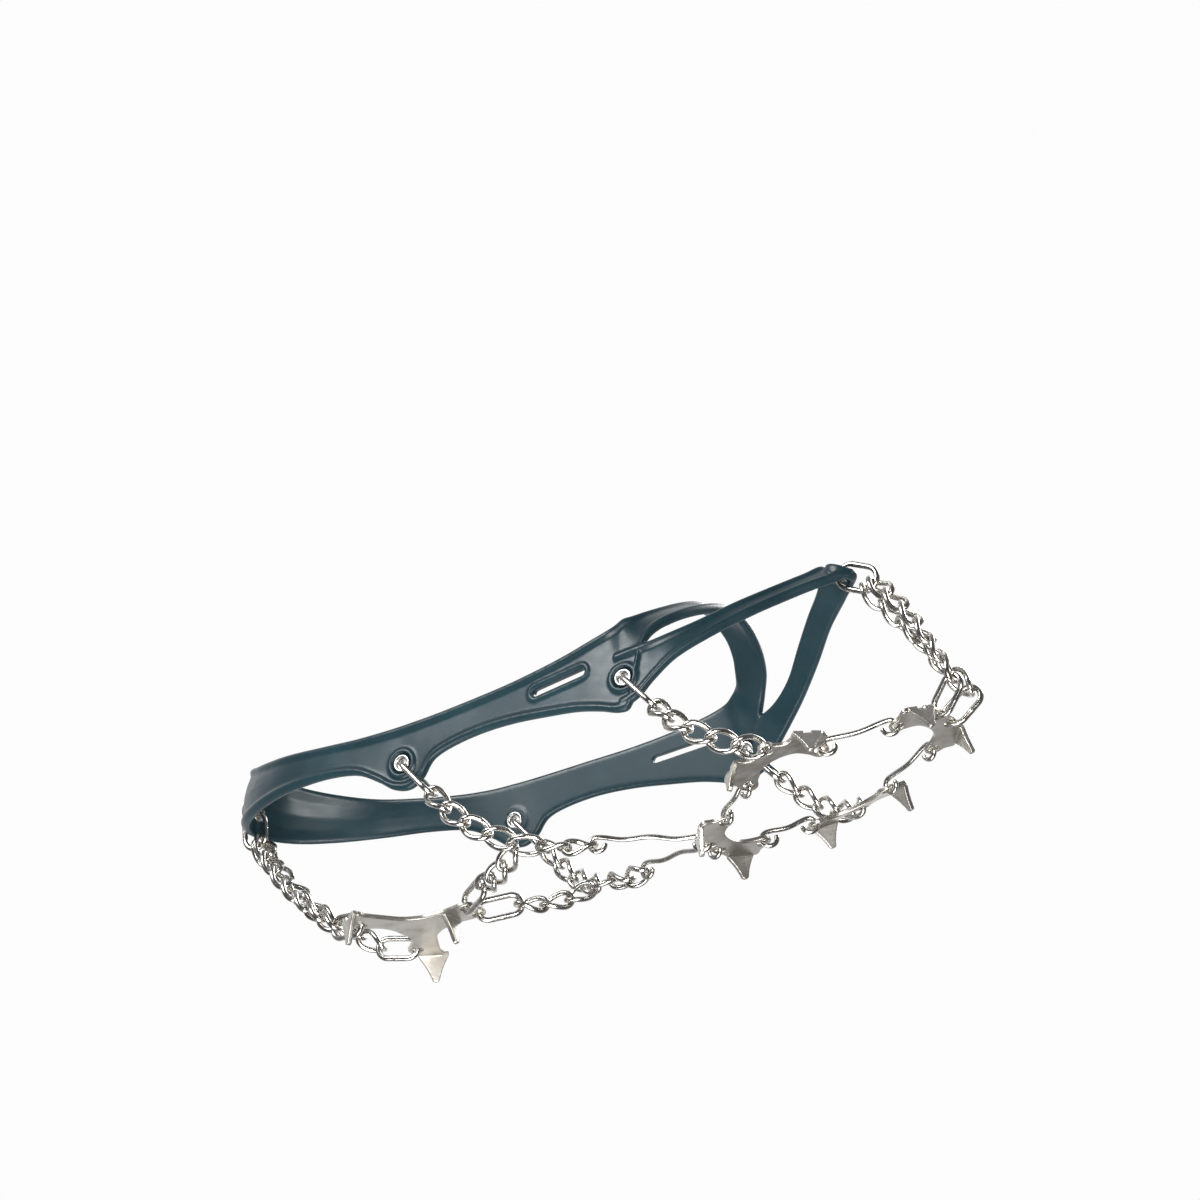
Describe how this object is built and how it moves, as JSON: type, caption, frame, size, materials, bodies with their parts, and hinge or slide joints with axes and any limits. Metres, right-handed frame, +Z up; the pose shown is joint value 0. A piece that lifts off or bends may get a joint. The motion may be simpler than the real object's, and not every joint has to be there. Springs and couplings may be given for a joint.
{
  "type": "pull-on shoe ice cleat",
  "caption": "Pull-on ice cleat: an elastomer harness worn round a shoe, with twisted chain runs, wavy wires and toothed steel plates under the sole.",
  "frame": {"origin": "centre line of the tread plane, below the rearmost point of the heel tab", "axes": "+X from heel to toe, +Y to the wearer's left, +Z up the leg; the tread plane under the heel is z = 0"},
  "size_m": [0.317, 0.114, 0.1045],
  "materials": {
    "elastomer": "satin",
    "chain_steel": "polished",
    "plate_steel": "satin",
    "eyelet_steel": "satin"
  },
  "bodies": {
    "harness_body": {"harness_band": "elastomer", "harness_strap": "elastomer", "eyelet_heel": "eyelet_steel", "eyelet_rear_right": "eyelet_steel", "eyelet_rear_left": "eyelet_steel", "eyelet_fore_right": "eyelet_steel", "eyelet_fore_left": "eyelet_steel", "eyelet_toe": "eyelet_steel"},
    "long_link_heel": {"long_link_heel": "chain_steel"},
    "long_link_rear_right": {"long_link_rear_right": "chain_steel"},
    "long_link_rear_left": {"long_link_rear_left": "chain_steel"},
    "long_link_fore_right": {"long_link_fore_right": "chain_steel"},
    "long_link_fore_left": {"long_link_fore_left": "chain_steel"},
    "long_link_toe": {"long_link_toe": "chain_steel"},
    "long_link_heel_lower_right": {"long_link_heel_lower_right": "chain_steel"},
    "long_link_heel_lower_left": {"long_link_heel_lower_left": "chain_steel"},
    "long_link_mid_right": {"long_link_mid_right": "chain_steel"},
    "long_link_mid_left": {"long_link_mid_left": "chain_steel"},
    "long_link_toe_lower_right": {"long_link_toe_lower_right": "chain_steel"},
    "long_link_toe_lower_left": {"long_link_toe_lower_left": "chain_steel"},
    "chain_heel_right": {"chain_heel_right": "chain_steel"},
    "chain_heel_left": {"chain_heel_left": "chain_steel"},
    "chain_rear_right": {"chain_rear_right": "chain_steel"},
    "chain_rear_left": {"chain_rear_left": "chain_steel"},
    "chain_mid_back_right": {"chain_mid_back_right": "chain_steel"},
    "chain_mid_back_left": {"chain_mid_back_left": "chain_steel"},
    "chain_mid_front_right": {"chain_mid_front_right": "chain_steel"},
    "chain_mid_front_left": {"chain_mid_front_left": "chain_steel"},
    "chain_fore_right": {"chain_fore_right": "chain_steel"},
    "chain_fore_left": {"chain_fore_left": "chain_steel"},
    "chain_toe_right": {"chain_toe_right": "chain_steel"},
    "chain_toe_left": {"chain_toe_left": "chain_steel"},
    "plate_heel": {"plate_heel": "plate_steel"},
    "plate_instep": {"plate_instep": "plate_steel"},
    "plate_side_right": {"plate_side_right": "plate_steel"},
    "plate_side_left": {"plate_side_left": "plate_steel"},
    "plate_toe": {"plate_toe": "plate_steel"},
    "wavy_rear_right": {"wavy_rear_right": "chain_steel"},
    "wavy_rear_left": {"wavy_rear_left": "chain_steel"},
    "wavy_mid_right": {"wavy_mid_right": "chain_steel"},
    "wavy_mid_left": {"wavy_mid_left": "chain_steel"},
    "wavy_front_right": {"wavy_front_right": "chain_steel"},
    "wavy_front_left": {"wavy_front_left": "chain_steel"}
  },
  "joints": [
    {"name": "long_link_heel_roll", "type": "hinge", "parent": "harness_body", "child": "long_link_heel", "pos_m": [0.00432, 0, 0.0681], "axis": [-0.0698, 0, -0.9976], "range_deg": [-3.5, 11]},
    {"name": "long_link_toe_roll", "type": "hinge", "parent": "harness_body", "child": "long_link_toe", "pos_m": [0.27004, 0, 0.08274], "axis": [0.88, 0, -0.475], "range_deg": [-5.5, 11]},
    {"name": "long_link_rear_right_roll", "type": "hinge", "parent": "harness_body", "child": "long_link_rear_right", "pos_m": [0.09843, -0.04208, 0.04774], "axis": [0.5813, -0.0551, -0.8118], "range_deg": [-11, 11]},
    {"name": "long_link_fore_right_roll", "type": "hinge", "parent": "harness_body", "child": "long_link_fore_right", "pos_m": [0.19922, -0.04908, 0.04794], "axis": [0.6012, -0.0691, -0.7961], "range_deg": [-11, 11]},
    {"name": "long_link_heel_lower_right_roll", "type": "hinge", "parent": "harness_body", "child": "long_link_heel_lower_right", "pos_m": [0.05951, -0.02053, -0.00002], "axis": [-0.9416, 0.2705, 0.2004], "range_deg": [-11, 11]},
    {"name": "long_link_toe_lower_right_roll", "type": "hinge", "parent": "harness_body", "child": "long_link_toe_lower_right", "pos_m": [0.30091, -0.00467, 0.01412], "axis": [0.7146, -0.2547, 0.6514], "range_deg": [-3.5, 3.5]},
    {"name": "long_link_mid_right_roll", "type": "hinge", "parent": "harness_body", "child": "long_link_mid_right", "pos_m": [0.0964, -0.0048, 0], "axis": [0.8342, -0.537, 0.1252], "range_deg": [-11, 6.5]},
    {"name": "long_link_rear_left_roll", "type": "hinge", "parent": "harness_body", "child": "long_link_rear_left", "pos_m": [0.09843, 0.04208, 0.04774], "axis": [0.5813, 0.0551, -0.8118], "range_deg": [-11, 11]},
    {"name": "long_link_fore_left_roll", "type": "hinge", "parent": "harness_body", "child": "long_link_fore_left", "pos_m": [0.19922, 0.04908, 0.04794], "axis": [0.6012, 0.0691, -0.7961], "range_deg": [-11, 11]},
    {"name": "long_link_heel_lower_left_roll", "type": "hinge", "parent": "harness_body", "child": "long_link_heel_lower_left", "pos_m": [0.05951, 0.02053, -0.00002], "axis": [-0.9416, -0.2705, 0.2004], "range_deg": [-11, 11]},
    {"name": "long_link_toe_lower_left_roll", "type": "hinge", "parent": "harness_body", "child": "long_link_toe_lower_left", "pos_m": [0.30091, 0.00467, 0.01412], "axis": [0.7146, 0.2547, 0.6514], "range_deg": [-2, 3.5]},
    {"name": "long_link_mid_left_roll", "type": "hinge", "parent": "harness_body", "child": "long_link_mid_left", "pos_m": [0.0964, 0.0048, 0], "axis": [0.8342, 0.537, 0.1252], "range_deg": [-6.5, 11]},
    {"name": "chain_rear_right_swing", "type": "hinge", "parent": "harness_body", "child": "chain_rear_right", "pos_m": [0.1086, -0.04305, 0.03354], "axis": [0.6859, 0.2828, -0.6705], "range_deg": [-11, 11]},
    {"name": "chain_fore_right_swing", "type": "hinge", "parent": "harness_body", "child": "chain_fore_right", "pos_m": [0.20974, -0.05029, 0.03401], "axis": [0.7919, 0.225, -0.5676], "range_deg": [-11, 6.5]},
    {"name": "chain_heel_right_swing", "type": "hinge", "parent": "harness_body", "child": "chain_heel_right", "pos_m": [0.00594, 0.00045, 0.05788], "axis": [0.5761, -0.2445, -0.78], "range_deg": [-8, 2]},
    {"name": "chain_toe_right_swing", "type": "hinge", "parent": "harness_body", "child": "chain_toe_right", "pos_m": [0.28227, 0.0002, 0.07668], "axis": [0.4629, -0.1361, -0.8759], "range_deg": [-11, 11]},
    {"name": "chain_mid_back_right_swing", "type": "hinge", "parent": "harness_body", "child": "chain_mid_back_right", "pos_m": [0.13507, -0.02969, 0.0058], "axis": [-0.8342, 0.537, -0.1252], "range_deg": [-11, 6.5]},
    {"name": "chain_mid_front_right_swing", "type": "hinge", "parent": "harness_body", "child": "chain_mid_front_right", "pos_m": [0.14316, -0.02765, 0.00486], "axis": [0.9145, 0.3682, -0.1676], "range_deg": [-11, 3.5]},
    {"name": "chain_rear_left_swing", "type": "hinge", "parent": "harness_body", "child": "chain_rear_left", "pos_m": [0.1086, 0.04305, 0.03354], "axis": [0.6859, -0.2828, -0.6705], "range_deg": [-11, 11]},
    {"name": "chain_fore_left_swing", "type": "hinge", "parent": "harness_body", "child": "chain_fore_left", "pos_m": [0.20974, 0.05029, 0.03401], "axis": [0.7919, -0.225, -0.5676], "range_deg": [-11, 11]},
    {"name": "chain_heel_left_swing", "type": "hinge", "parent": "harness_body", "child": "chain_heel_left", "pos_m": [0.00321, -0.00045, 0.05606], "axis": [0.6127, 0.2437, -0.7518], "range_deg": [-2, 5.5]},
    {"name": "chain_toe_left_swing", "type": "hinge", "parent": "harness_body", "child": "chain_toe_left", "pos_m": [0.2788, -0.0002, 0.07534], "axis": [0.515, 0.1348, -0.8465], "range_deg": [-6.5, 11]},
    {"name": "chain_mid_back_left_swing", "type": "hinge", "parent": "harness_body", "child": "chain_mid_back_left", "pos_m": [0.13507, 0.02969, 0.0058], "axis": [-0.8342, -0.537, -0.1252], "range_deg": [-6.5, 11]},
    {"name": "chain_mid_front_left_swing", "type": "hinge", "parent": "harness_body", "child": "chain_mid_front_left", "pos_m": [0.14316, 0.02765, 0.00486], "axis": [0.9145, -0.3682, -0.1676], "range_deg": [-3.5, 11]},
    {"name": "wavy_rear_right_roll", "type": "hinge", "parent": "harness_body", "child": "wavy_rear_right", "pos_m": [0.2024, -0.0038, -0.006], "axis": [-0.9145, -0.3682, 0.1676], "range_deg": [-11, 11]},
    {"name": "wavy_mid_right_roll", "type": "hinge", "parent": "harness_body", "child": "wavy_mid_right", "pos_m": [0.21472, -0.0152, -0.00389], "axis": [0.7918, -0.5601, 0.2437], "range_deg": [-11, 11]},
    {"name": "wavy_front_right_roll", "type": "hinge", "parent": "harness_body", "child": "wavy_front_right", "pos_m": [0.26256, -0.02775, 0.0058], "axis": [0.8914, 0.4227, 0.1635], "range_deg": [-11, 11]},
    {"name": "wavy_rear_left_roll", "type": "hinge", "parent": "harness_body", "child": "wavy_rear_left", "pos_m": [0.2024, 0.0038, -0.006], "axis": [-0.9145, 0.3682, 0.1676], "range_deg": [-11, 11]},
    {"name": "wavy_mid_left_roll", "type": "hinge", "parent": "harness_body", "child": "wavy_mid_left", "pos_m": [0.21472, 0.0152, -0.00389], "axis": [0.7918, 0.5601, 0.2437], "range_deg": [-11, 11]},
    {"name": "wavy_front_left_roll", "type": "hinge", "parent": "harness_body", "child": "wavy_front_left", "pos_m": [0.26256, 0.02775, 0.0058], "axis": [0.8914, -0.4227, 0.1635], "range_deg": [-11, 11]},
    {"name": "plate_heel_rock", "type": "hinge", "parent": "harness_body", "child": "plate_heel", "pos_m": [0.078, 0, 0], "axis": [0, 1, 0], "range_deg": [-1, 1]},
    {"name": "plate_instep_rock", "type": "hinge", "parent": "harness_body", "child": "plate_instep", "pos_m": [0.21472, 0, -0.00389], "axis": [0, 1, 0], "range_deg": [0, 3.5]},
    {"name": "plate_toe_rock", "type": "hinge", "parent": "harness_body", "child": "plate_toe", "pos_m": [0.28902, 0, 0.01065], "axis": [0, 1, 0], "range_deg": [-3.5, 0]},
    {"name": "plate_side_right_rock", "type": "hinge", "parent": "harness_body", "child": "plate_side_right", "pos_m": [0.24751, -0.02775, 0.00368], "axis": [0.9903, 0, 0.1392], "range_deg": [-3.5, 1]},
    {"name": "plate_side_left_rock", "type": "hinge", "parent": "harness_body", "child": "plate_side_left", "pos_m": [0.24751, 0.02775, 0.00368], "axis": [0.9903, 0, 0.1392], "range_deg": [-1.5, 3.5]}
  ]
}
